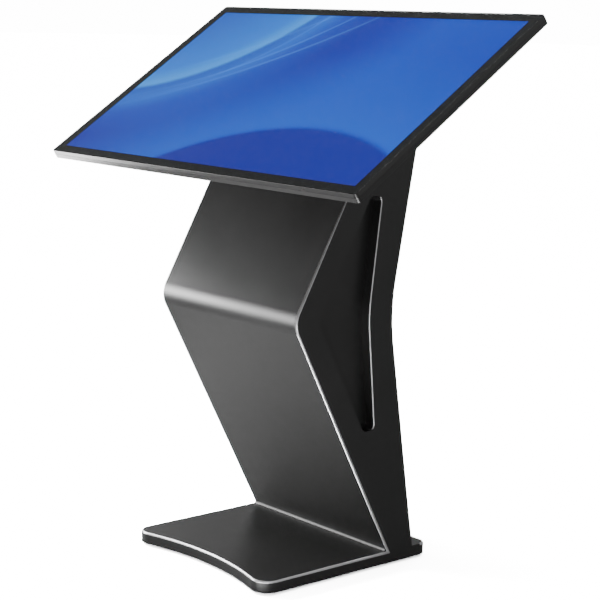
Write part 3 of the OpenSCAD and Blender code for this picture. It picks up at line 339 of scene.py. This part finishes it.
def rounded(name, rule, most, segments, plainRule=None, edgeHighlight=None):
    # a copy of a node with its edges rounded: rule(middle, normals) gives the radius of each edge in metres;
    # edges that plainRule picks are rounded first and keep the node's own finish; the edges that rule rounds
    # get edgeHighlight, a painted highlight finish, when it is given
    src = nodes[name].data
    bm = bmesh.new()
    verts = [bm.verts.new(v.co) for v in src.vertices]
    bm.verts.ensure_lookup_table()
    for p in src.polygons:
        try:
            bm.faces.new([verts[i] for i in p.vertices])
        except ValueError:
            pass
    bmesh.ops.remove_doubles(bm, verts=bm.verts, dist=2e-6)
    bmesh.ops.dissolve_limit(bm, angle_limit=math.radians(0.4), verts=bm.verts, edges=bm.edges)
    if plainRule:
        chosen = [e for e in bm.edges if len(e.link_faces) == 2 and e.calc_face_angle(0.0) > leastAngle
                  and plainRule((e.verts[0].co + e.verts[1].co) / 2, [f.normal for f in e.link_faces])]
        bmesh.ops.bevel(bm, geom=chosen, offset=plainRule(None, None), offset_type="OFFSET", segments=3,
                        profile=0.5, affect="EDGES", clamp_overlap=False, miter_outer="SHARP")
    weight = bm.edges.layers.float.new("bevel_weight_edge")
    for e in bm.edges:
        if len(e.link_faces) != 2:
            continue
        if e.calc_face_angle(0.0) < leastAngle:
            continue
        mid = (e.verts[0].co + e.verts[1].co) / 2
        e[weight] = min(1.0, max(0.0, rule(mid, [f.normal for f in e.link_faces]) / most))
        if e[weight] == 0:
            e.smooth = False
    for f in bm.faces:
        f.smooth = True
    mesh = bpy.data.meshes.new(name + "_rounded")
    bm.to_mesh(mesh)
    bm.free()
    mesh.materials.append(finishes[slotOf[name]])
    if edgeHighlight:
        mesh.materials.append(finishes[edgeHighlight])
    obj = bpy.data.objects.new(name + "_rounded", mesh)
    scene.collection.objects.link(obj)
    bevel = obj.modifiers.new("edges", "BEVEL")
    bevel.limit_method = "WEIGHT"
    bevel.width = most
    bevel.segments = segments
    bevel.use_clamp_overlap = False
    # the bevel's new faces take the painted highlight finish when there is one
    bevel.material = 1 if edgeHighlight else -1
    bevel.miter_outer = "MITER_SHARP"
    weighted = obj.modifiers.new("normals", "WEIGHTED_NORMAL")
    weighted.keep_sharp = True
    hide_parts(name)
    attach(obj, bodyOf[name])
    return obj


bodyOf = {}
for body, members in frame["record"]["behaviour"]["bodies"].items():
    for n in members:
        bodyOf[n] = body

panelEdges = {"sideOuter": 0.004, "recess": 0.002, "plain": 0.0015}
sideX = places["halfWidth"]


def insideRecess(p):
    # the recess lies well behind the front face and ends well inside the outline
    up = abs(p.z - places["kneeZ"])
    return up < 0.262 and -0.10 + up * 0.5 < p.y < 0.10 + up * 0.14


def onFrontOutline(mid):
    # the deck's side edge, the leg's front edge, the knee and the arm's front edge
    if mid.z < places["deckTop"] + 0.002:
        return mid.y < places["footY"]
    return mid.y < places["kneeFrontY"] + abs(mid.z - places["kneeZ"]) * math.tan(places["frontLean"]) + 0.03


def sidePanelRule(mid, normals):
    # the rounded edges that carry the painted highlight finish: along the front outline and the recess's rear
    # edge
    if abs(mid.x) < sideX - 0.0003:
        return 0.0
    if insideRecess(mid):
        rear = mid.y > 0.02 + abs(mid.z - places["kneeZ"]) * 0.14 and any(abs(n.y) > 0.6 for n in normals)
        return panelEdges["recess"] if rear else 0.0
    if not any(abs(n.x) < 0.2 for n in normals) or mid.z < places["deckTop"] - 0.001:
        return 0.0
    return panelEdges["sideOuter"] if onFrontOutline(mid) else 0.0


def sidePanelPlain(mid, normals):
    # the rear outline, which keeps the plain coat; asked without an edge, it gives the radius
    if mid is None:
        return panelEdges["plain"]
    if abs(mid.x) < sideX - 0.0003 or insideRecess(mid) or onFrontOutline(mid):
        return 0.0
    return 1.0 if mid.z > places["deckTop"] + 0.002 and any(abs(n.x) < 0.2 for n in normals) else 0.0


def softened(name, radius, segments=2):
    # the same for a small piece: every sharp edge gets one small radius
    obj = rounded(name, lambda mid, normals: radius, radius, segments)
    obj.modifiers["edges"].use_clamp_overlap = True
    return obj


# the glass and the border printed on its back
glassSize = {"width": places["glassWidth"], "height": places["glassHeight"], "corner": places["corner"],
             "thick": 0.0038, "edge": 0.0006, "ink": 0.00008, "inkGap": 0.00003, "inkInset": 0.001}


def ringPoints(w, h, r, n=8):
    # a rectangle with round corners, in the glass's own plane
    pts = []
    for cx, cy, start in ((w / 2 - r, h / 2 - r, 0), (r - w / 2, h / 2 - r, 90),
                          (r - w / 2, r - h / 2, 180), (w / 2 - r, r - h / 2, 270)):
        for i in range(n + 1):
            t = math.radians(start + 90 * i / n)
            pts.append(Vector((cx + r * math.cos(t), cy + r * math.sin(t))))
    return pts


def addPiece(name, finish, body="kiosk", replaces=None):
    mesh = bpy.data.meshes.new(name)
    obj = bpy.data.objects.new(name, mesh)
    scene.collection.objects.link(obj)
    mesh.materials.append(finishes[finish])
    if replaces:
        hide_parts(replaces)
    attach(obj, body)
    return obj


def loopsToMesh(mesh, loops, closed=False):
    # skins neighbouring loops of points on the head, and caps the first and the last unless closed
    bm = bmesh.new()
    rings = [[bm.verts.new(headFrame @ p) for p in loop] for loop in loops]
    pairs = list(zip(rings, rings[1:])) + ([(rings[-1], rings[0])] if closed else [])
    for a, b in pairs:
        n = len(a)
        for i in range(n):
            bm.faces.new((a[i], a[(i + 1) % n], b[(i + 1) % n], b[i]))
    if not closed:
        bm.faces.new(list(reversed(rings[0])))
        bm.faces.new(rings[-1])
    bmesh.ops.recalc_face_normals(bm, faces=bm.faces)
    for f in bm.faces:
        f.smooth = True
    bm.to_mesh(mesh)
    bm.free()


def smoothByWeight(obj, sharp):
    obj.data.set_sharp_from_angle(angle=math.radians(sharp))
    w = obj.modifiers.new("normals", "WEIGHTED_NORMAL")
    w.keep_sharp = True


def makeGlass():
    g = glassSize
    obj = addPiece("clearGlass", "cover_glass", replaces="touch_glass")
    loops = []
    for inset, z in ((g["edge"], -g["thick"]), (0, -g["thick"] + g["edge"]), (0, -g["edge"]),
                     (g["edge"] * 0.3, -g["edge"] * 0.3), (g["edge"], 0)):
        loops.append([Vector((p.x, p.y, z)) for p in
                      ringPoints(g["width"] - 2 * inset, g["height"] - 2 * inset, g["corner"] - inset)])
    loopsToMesh(obj.data, loops)
    smoothByWeight(obj, 35)
    ink = addPiece("printedBorder", "border_ink")
    z0 = -g["thick"] - g["inkGap"]
    z1 = z0 - g["ink"]
    inset = g["inkInset"]
    outer = ringPoints(g["width"] - 2 * inset, g["height"] - 2 * inset, g["corner"] - inset)
    inner = ringPoints(screenLook["width"], screenLook["height"], 0.0008)
    loopsToMesh(ink.data, [[Vector((p.x, p.y, z)) for p in ring] for ring, z in
                           ((outer, z0), (inner, z0), (inner, z1), (outer, z1))], closed=True)
    ink.data.set_sharp_from_angle(angle=math.radians(30))


makeGlass()

# the folded sheets: the front from deck to head, the skirt with its rounded top edge, and the rear cover
print("folding the sheets")


def fillet(a, b, c, r, n):
    # the arc that rounds corner b between a and c
    u, v = (a - b).normalized(), (c - b).normalized()
    half = math.acos(max(-1.0, min(1.0, u.dot(v)))) / 2
    o = b + (u + v).normalized() * r / math.sin(half)
    start, end = b + u * r / math.tan(half) - o, b + v * r / math.tan(half) - o
    a0 = math.atan2(start.y, start.x)
    da = math.atan2(end.y, end.x) - a0
    da = da - 2 * math.pi if da > math.pi else da + 2 * math.pi if da < -math.pi else da
    return [o + Vector((math.cos(a0 + da * i / n), math.sin(a0 + da * i / n))) * r for i in range(n + 1)]


def baseLoop(inset, part):
    # the base's outline seen from above, taken in by inset: its front part or its rear part, left to right
    hw, bow = places["halfWidth"], places["bow"]
    bowR = (hw * hw + bow * bow) / (2 * bow)
    bowY = places["footY"] - places["baseFront"] + bow - bowR
    fr, rr = places["frontCorner"], places["rearCorner"]
    turn = math.atan2(places["cornerY"] - bowY, hw - fr)

    def arc(cx, cy, r, a0, a1, n):
        return [Vector((cx + r * math.cos(a0 + (a1 - a0) * i / n), cy + r * math.sin(a0 + (a1 - a0) * i / n)))
                for i in range(n + 1)]
    if part == "front":
        return (arc(fr - hw, places["cornerY"], fr - inset, math.pi, 2 * math.pi - turn, 18)
                + arc(0, bowY, bowR + inset, math.pi - turn, turn, 60)[1:-1]
                + arc(hw - fr, places["cornerY"], fr - inset, turn - math.pi, 0, 18))
    side = places["rearY"] - rr
    return (arc(rr - hw, side, rr - inset, math.pi, math.pi / 2, 14)
            + arc(hw - rr, side, rr - inset, math.pi / 2, 0, 14))


def finishMesh(obj, bm):
    bmesh.ops.recalc_face_normals(bm, faces=bm.faces)
    for f in bm.faces:
        f.smooth = True
    bm.to_mesh(obj.data)
    bm.free()
    smoothByWeight(obj, 32)


def skinRings(bm, rings, edge=0):
    # skins neighbouring closed rings of points and caps both ends;
    # the first edge strips get the second finish, which is the painted edge highlight where one is given
    made = [[bm.verts.new(p) for p in ring] for ring in rings]
    for a, b in zip(made, made[1:]):
        n = len(a)
        for i in range(n):
            face = bm.faces.new((a[i], a[(i + 1) % n], b[(i + 1) % n], b[i]))
            face.material_index = 1 if i < edge else 0
    bm.faces.new(list(reversed(made[0])))
    bm.faces.new(made[-1])


frontSheet = {"edgeRound": 0.004, "kneeSteps": 48, "footSteps": 12, "gap": 0.00005, "headGap": 0.0005}


def headUnderside(p, direction, drop):
    # where a line up an arm's face meets the plane that lies drop under the glass
    start = Vector((headMid.y, headMid.z)) - Vector((headOut.y, headOut.z)) * drop
    along = Vector((headDir.y, headDir.z))
    cross = direction.x * along.y - direction.y * along.x
    gap = start - p
    return p + direction * ((gap.x * along.y - gap.y * along.x) / cross)


def makeFrontPanel():
    f = frontSheet
    lean = places["frontLean"]
    foot = Vector((places["footY"], places["deckTop"]))
    knee = Vector((places["kneeFrontY"], places["kneeZ"]))
    up = Vector((math.sin(lean), math.cos(lean)))
    drop = places["edge"] + places["box"] + f["headGap"]
    top = headUnderside(knee, up, drop)
    t = places["sheet"]
    ahead = foot + Vector((-1, 0))
    outer = fillet(ahead, foot, knee, places["footBend"], f["footSteps"]) \
        + fillet(foot, knee, top, places["kneeBend"], f["kneeSteps"]) + [top]
    # the sheet's inner side: the same corners moved in by its thickness
    footIn = foot + Vector((t / math.cos(lean) + t * math.tan(lean), -t))
    kneeIn = knee + Vector((t / math.cos(lean), 0))
    topIn = headUnderside(kneeIn, up, drop)
    inner = fillet(footIn + Vector((-1, 0)), footIn, kneeIn, places["footBend"] + t, f["footSteps"]) \
        + fillet(footIn, kneeIn, topIn, places["kneeBend"] - t, f["kneeSteps"]) + [topIn]
    joinY = outer[0].x
    inner[0] = Vector((joinY, inner[0].y))
    half = places["halfWidth"] - places["lip"] - f["gap"]
    bm = bmesh.new()
    loop = outer + list(reversed(inner))
    skinRings(bm, [[Vector((x, p.x, p.y)) for p in loop] for x in (-half, half)])
    # the deck, up to where the bend starts
    front = baseLoop(f["edgeRound"], "front")
    flat = [Vector((p.x, p.y)) for p in front] + [Vector((half, places["cornerY"])), Vector((half, joinY)),
                                                  Vector((-half, joinY)), Vector((-half, places["cornerY"]))]
    z = places["deckTop"]
    skinRings(bm, [[Vector((p.x, p.y, h)) for p in flat] for h in (z - t, z)])
    obj = addPiece("frontSheet", "powder_coat", replaces="front_panel")
    finishMesh(obj, bm)


def makeSkirt(name, part, node, cut):
    # an upright skirt whose top edge is rounded and runs in to the flat top; the rounded edge carries a
    # painted highlight finish
    r, t = frontSheet["edgeRound"], places["sheet"]
    z0, z1 = places["footGap"], places["deckTop"]
    steps = 8
    profile = [(r - r * math.cos(math.pi / 2 * i / steps), z1 - r + r * math.sin(math.pi / 2 * i / steps))
               for i in range(steps, -1, -1)]
    profile += [(0.0, z0 + 0.0005), (0.0005, z0), (t, z0), (t, z1 - r), (r, z1 - t)]
    bm = bmesh.new()
    paths = [baseLoop(inset, part) for inset, z in profile]
    rings = []
    for i in range(len(paths[0])):
        ring = []
        for path, (inset, z) in zip(paths, profile):
            p = path[i]
            y = min(p.y, places["cornerY"] - cut) if part == "front" else p.y
            ring.append(Vector((p.x, y, z)))
        rings.append(ring)
    skinRings(bm, rings, edge=steps)
    if part == "rear":
        t0 = places["rearFootY"] + 0.0002
        inner = baseLoop(r, "rear")
        half = places["halfWidth"] - places["lip"] - 0.0002
        side = places["rearY"] - places["rearCorner"]
        flat = [Vector((p.x, p.y)) for p in inner]
        flat += [Vector((half, side)), Vector((half, t0)), Vector((-half, t0)), Vector((-half, side))]
        skinRings(bm, [[Vector((p.x, p.y, h)) for p in flat] for h in (z1 - t, z1)])
    obj = addPiece(name, "powder_coat", replaces=node)
    # the second finish is the painted edge highlight: a bright metal that stands in for the lit line along
    # the rounded edge
    obj.data.materials.append(finishes["painted_edge_highlight"])
    finishMesh(obj, bm)


makeFrontPanel()
makeSkirt("frontSkirt", "front", "front_skirt", frontSheet["gap"])
makeSkirt("rearCover", "rear", "rear_cover", 0.0)
for name in ("side_panel_left", "side_panel_right"):
    # the front outline and the recess's rear edge get the painted edge highlight; the rear outline keeps the
    # plain coat
    rounded(name, sidePanelRule, panelEdges["sideOuter"], 4, sidePanelPlain, "painted_edge_highlight")

# the head's frame: a slanted upper band, a fine groove and an upright lower band
frameLook = {
    "round": 0.0007, "roundSteps": (0, 22, 45, 68, 90), "band": 0.0084, "slant": 0.0009,
    "lipGap": 0.0003, "lipRound": 0.0002, "lipDepth": 0.0045,
    "groove": 0.0004, "grooveSlope": 0.0002, "grooveHeight": 0.0005,
    "fold": 0.0008, "foldMid": 0.0003, "wall": 0.004,
    "ledge": 0.006, "ledgeTop": 0.0057, "ledgeUnder": 0.0062,
}
# the infra-red receiver's window: how far across, how deep under the glass and how large it is
windowLook = {"across": 0.35, "under": 0.0069, "wide": 0.005, "high": 0.003, "deep": 0.003, "inset": 0.0001}


def frameProfile():
    # pairs of inset from the outer face and height, from the lip at the glass round to the ledge under it
    g, rim, e = frameLook, places["rim"], places["edge"]
    r, lip, band = g["round"], rim - g["lipGap"], -g["band"]
    profile = [(lip, -g["lipDepth"]), (lip, -g["lipRound"]), (lip - g["lipRound"], 0.0)]
    for degrees in g["roundSteps"]:
        a = math.radians(degrees)
        profile.append((g["slant"] + r - r * math.sin(a), -r + r * math.cos(a)))
    low = band - g["grooveSlope"] - g["grooveHeight"]
    profile += [(0.0, band), (g["groove"], band - g["grooveSlope"]), (g["groove"], low),
                (0.0, low - g["grooveSlope"])]
    profile += [(0.0, g["fold"] - e), (g["foldMid"], g["foldMid"] - e), (g["fold"], -e)]
    profile += [(g["wall"], -e), (g["wall"], -g["ledgeUnder"]), (g["ledge"], -g["ledgeTop"])]
    return profile


def makeHeadFrame():
    w, h = places["glassWidth"] + 2 * places["rim"], places["glassHeight"] + 2 * places["rim"]
    corner = places["corner"] + places["rim"]
    loops = []
    for inset, z in frameProfile():
        loops.append([Vector((p.x, p.y, z)) for p in
                      ringPoints(w - 2 * inset, h - 2 * inset, max(0.0005, corner - inset), 12)])
    obj = addPiece("headFrame", "powder_coat", replaces="head_frame")
    loopsToMesh(obj.data, loops, closed=True)
    smoothByWeight(obj, 32)


def makeWindow():
    g = windowLook
    front = -places["glassHeight"] / 2 - places["rim"] + g["inset"]
    pane = addPiece("irWindow", "ir_plastic", replaces="ir_window")
    corners = ((-1, -1), (1, -1), (1, 1), (-1, 1))
    loops = [[Vector((g["across"] + dx * g["wide"] / 2, front + dy, dz * g["high"] / 2 - g["under"]))
              for dx, dz in corners] for dy in (0.0, g["deep"])]
    loopsToMesh(pane.data, loops)
    pane.data.shade_flat()


makeHeadFrame()
makeWindow()

# the small pieces on the back and underneath, with softened edges
softRadii = {"rear_door": 0.0012, "rear_panel": 0.0005, "head_back_cover": 0.001, "power_plate": 0.0006,
             "cable_gland": 0.0006, "rocker_housing": 0.0004, "rocker": 0.0005, "power_button": 0.0006,
             "button_bezel": 0.0004, "lock_body": 0.0006, "lock_plug": 0.0004, "hinge_frame_leaves": 0.0003,
             "hinge_door_leaves": 0.0003, "hinge_pins": 0.0004}
for name, radius in softRadii.items():
    softened(name, radius)
print("edges rounded:", len(softRadii) + 2)

# the floor, the lights and the camera
print("setting the floor and the lights")
studio = {
    "floorHalf": 60.0, "seenTone": 20.0, "bounceTone": 0.34, "backdrop": 15.0,
    "low": 1.0, "middle": 0.25, "high": 0.11,
    "sky": 2.0, "skySpread": math.radians(80), "skyTurn": (math.radians(-8), math.radians(6), 0),
}


def makeFloor():
    bm = bmesh.new()
    h = studio["floorHalf"]
    bm.faces.new([bm.verts.new(c) for c in ((-h, -h, 0), (h, -h, 0), (h, h, 0), (-h, h, 0))])
    mesh = bpy.data.meshes.new("floor")
    bm.to_mesh(mesh)
    bm.free()
    mat, tree, shader = newMaterial("paleFloor")
    shader.inputs["Roughness"].default_value = 1.0
    shader.inputs["Specular IOR Level"].default_value = 0.0
    # seen straight on, the floor is as white as the backdrop; what it throws on the object is dimmer
    path = tree.nodes.new("ShaderNodeLightPath")
    tone = mixColour(tree, path.outputs["Is Camera Ray"],
                     (studio["bounceTone"],) * 3, (studio["seenTone"],) * 3)
    tree.links.new(tone, shader.inputs["Base Color"])
    mesh.materials.append(mat)
    floor = bpy.data.objects.new("floor", mesh)
    scene.collection.objects.link(floor)
    return floor


def makeWorld():
    world = bpy.data.worlds.new("studio")
    world.use_nodes = True
    tree = world.node_tree
    seen = tree.nodes["Background"]                    # the white backdrop
    seen.inputs["Color"].default_value = (1, 1, 1, 1)
    seen.inputs["Strength"].default_value = studio["backdrop"]
    dim = tree.nodes.new("ShaderNodeBackground")       # the room round the object, darker towards the ceiling
    sep = tree.nodes.new("ShaderNodeSeparateXYZ")
    tree.links.new(tree.nodes.new("ShaderNodeTexCoord").outputs["Generated"], sep.inputs[0])
    shade = ramp(tree, sep.outputs[2], [(0.08, grey(studio["low"])), (0.36, grey(studio["middle"])),
                                        (0.6, grey(studio["high"]))])
    tree.links.new(shade.outputs["Color"], dim.inputs["Color"])
    path = tree.nodes.new("ShaderNodeLightPath")
    blend = tree.nodes.new("ShaderNodeMixShader")
    tree.links.new(path.outputs["Is Camera Ray"], blend.inputs[0])
    tree.links.new(dim.outputs[0], blend.inputs[1])
    tree.links.new(seen.outputs[0], blend.inputs[2])
    tree.links.new(blend.outputs[0], tree.nodes["World Output"].inputs["Surface"])
    scene.world = world


def areaLight(name, place, aim, size, power):
    data = bpy.data.lights.new(name, "AREA")
    data.shape = "RECTANGLE"
    data.size, data.size_y = size
    data.energy = power
    obj = bpy.data.objects.new(name, data)
    obj.location = place
    obj.rotation_euler = (Vector(aim) - Vector(place)).to_track_quat("-Z", "Y").to_euler()
    obj.visible_camera = False
    scene.collection.objects.link(obj)
    return obj


def skyLight():
    data = bpy.data.lights.new("sky", "SUN")
    data.energy = studio["sky"]
    data.angle = studio["skySpread"]
    obj = bpy.data.objects.new("sky", data)
    obj.rotation_euler = studio["skyTurn"]
    scene.collection.objects.link(obj)


makeFloor()
makeWorld()
skyLight()
# softboxes: name, place, aim, size and power; none of them is in the picture itself
softboxes = (
    ("kneeBox", (-2.2, -1.95, 0.46), (0, 0, 0.55), (1.0, 1.1), 60),
    ("deckEdge", (-0.84, -0.36, 0.60), (-0.05, -0.2, 0.03), (0.9, 0.34), 22),
    ("cornerFront", (0.30, -0.36, 0.004), (0.30, -0.36, 1.0), (0.26, 0.13), 5),
    ("headCorner", (0.78, -0.52, 0.3), (0.49, -0.24, 0.85), (0.25, 0.12), 4.5),
)
for box in softboxes:
    areaLight(*box)

view = {"azimuth": 49.14, "down": 9.82, "roll": 1.549, "lens": 99.5, "place": (2.6326, -2.2198, 1.1469)}


def makeCamera():
    a, e, q = (math.radians(view[k]) for k in ("azimuth", "down", "roll"))
    right = Vector((math.cos(a), math.sin(a), 0))
    ahead = Vector((-math.sin(a) * math.cos(e), math.cos(a) * math.cos(e), -math.sin(e)))
    up = right.cross(ahead)
    r = right * math.cos(q) + up * math.sin(q)
    u = up * math.cos(q) - right * math.sin(q)
    data = bpy.data.cameras.new("camera")
    data.lens = view["lens"]
    data.sensor_width = 36.0
    cam = bpy.data.objects.new("camera", data)
    back = -ahead
    cam.matrix_world = Matrix((
        (r.x, u.x, back.x, view["place"][0]),
        (r.y, u.y, back.y, view["place"][1]),
        (r.z, u.z, back.z, view["place"][2]),
        (0, 0, 0, 1)))
    scene.collection.objects.link(cam)
    scene.camera = cam


makeCamera()
